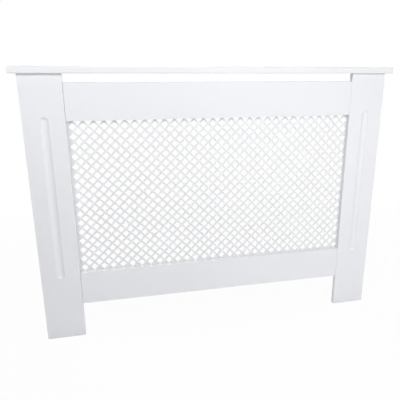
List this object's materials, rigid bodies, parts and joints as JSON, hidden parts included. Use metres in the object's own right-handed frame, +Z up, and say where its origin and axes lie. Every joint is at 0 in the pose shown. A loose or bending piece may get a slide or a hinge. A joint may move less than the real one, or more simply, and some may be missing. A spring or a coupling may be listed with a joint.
{
  "type": "radiator cover cabinet",
  "caption": "Free-standing white radiator cover with a moulded shelf, fluted legs, rails and a diamond grille, open at the back, put together with cam fittings and dowels.",
  "frame": {"origin": "on the floor, under the middle of the cover's width and depth", "axes": "+X to the viewer's right along the shelf, +Y back to the wall, +Z up"},
  "size_m": [1.115, 0.19, 0.815],
  "materials": {
    "painted_board": "fibreboard with smooth white satin paint",
    "grille_board": "thin fibreboard with white satin paint",
    "cast_zinc": "tumbled zinc casting",
    "zinc_plate": "zinc-plated sheet",
    "bright_steel": "zinc-plated wire steel",
    "beech": "raw beech"
  },
  "bodies": {
    "cabinet": {"shelf": "painted_board", "leg_left": "painted_board", "leg_right": "painted_board", "side_left": "painted_board", "side_right": "painted_board", "rail_upper": "painted_board", "rail_lower": "painted_board", "grille": "grille_board", "grille_pins": "bright_steel", "bracket_left": "zinc_plate", "bracket_right": "zinc_plate", "dowels": "beech", "cam_bolts": "bright_steel", "bracket_screws": "bright_steel"},
    "left_leg_low_cam": {"cam_left_leg_low": "cast_zinc"},
    "left_leg_high_cam": {"cam_left_leg_high": "cast_zinc"},
    "left_shelf_cam": {"cam_left_shelf": "cast_zinc"},
    "right_leg_low_cam": {"cam_right_leg_low": "cast_zinc"},
    "right_leg_high_cam": {"cam_right_leg_high": "cast_zinc"},
    "right_shelf_cam": {"cam_right_shelf": "cast_zinc"}
  },
  "joints": [
    {"name": "left_leg_low_cam_turn", "type": "hinge", "parent": "cabinet", "child": "left_leg_low_cam", "pos_m": [-0.523, -0.043, 0.12], "axis": [1, 0, 0], "range_deg": [0, 180]},
    {"name": "left_leg_high_cam_turn", "type": "hinge", "parent": "cabinet", "child": "left_leg_high_cam", "pos_m": [-0.523, -0.043, 0.677], "axis": [1, 0, 0], "range_deg": [0, 180]},
    {"name": "left_shelf_cam_turn", "type": "hinge", "parent": "cabinet", "child": "left_shelf_cam", "pos_m": [-0.523, 0.014, 0.773], "axis": [1, 0, 0], "range_deg": [0, 180]},
    {"name": "right_leg_low_cam_turn", "type": "hinge", "parent": "cabinet", "child": "right_leg_low_cam", "pos_m": [0.523, -0.043, 0.12], "axis": [-1, 0, 0], "range_deg": [0, 180]},
    {"name": "right_leg_high_cam_turn", "type": "hinge", "parent": "cabinet", "child": "right_leg_high_cam", "pos_m": [0.523, -0.043, 0.677], "axis": [-1, 0, 0], "range_deg": [0, 180]},
    {"name": "right_shelf_cam_turn", "type": "hinge", "parent": "cabinet", "child": "right_shelf_cam", "pos_m": [0.523, 0.014, 0.773], "axis": [-1, 0, 0], "range_deg": [0, 180]}
  ]
}
